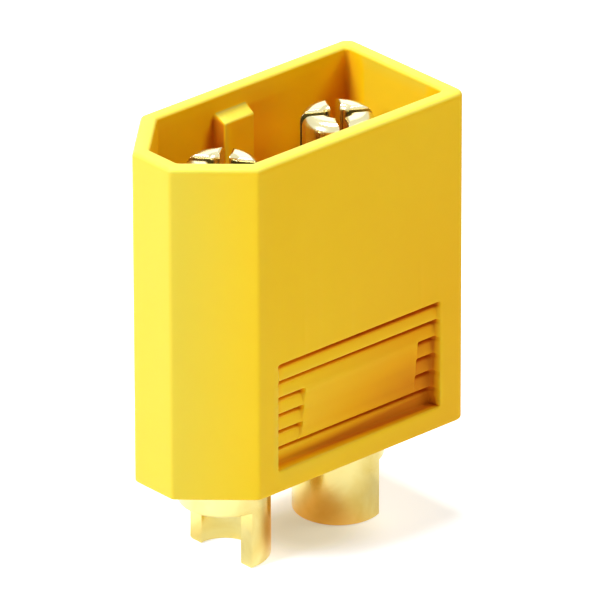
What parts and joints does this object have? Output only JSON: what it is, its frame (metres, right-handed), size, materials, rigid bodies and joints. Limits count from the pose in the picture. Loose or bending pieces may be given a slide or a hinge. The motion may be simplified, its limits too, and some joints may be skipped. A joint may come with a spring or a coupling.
{
  "type": "shrouded power connector",
  "caption": "Keyed, shrouded power connector half: split round pins stand inside an open mouth with chamfered corners, with grip ramps on the wide sides and scooped solder cups below.",
  "frame": {"origin": "middle of the housing's footprint, at the level of the solder cups' ends", "axes": "+Z from the solder cups to the mating mouth, +X towards the square end, -Y out of the wide face that the picture shows"},
  "size_m": [0.016, 0.0082, 0.0216],
  "materials": {
    "nylon": "smooth satin moulding",
    "gold_plate": "bright gold plate over brass"
  },
  "bodies": {
    "root": {"housing": "nylon", "negative_contact": "gold_plate", "positive_contact": "gold_plate"}
  },
  "joints": []
}
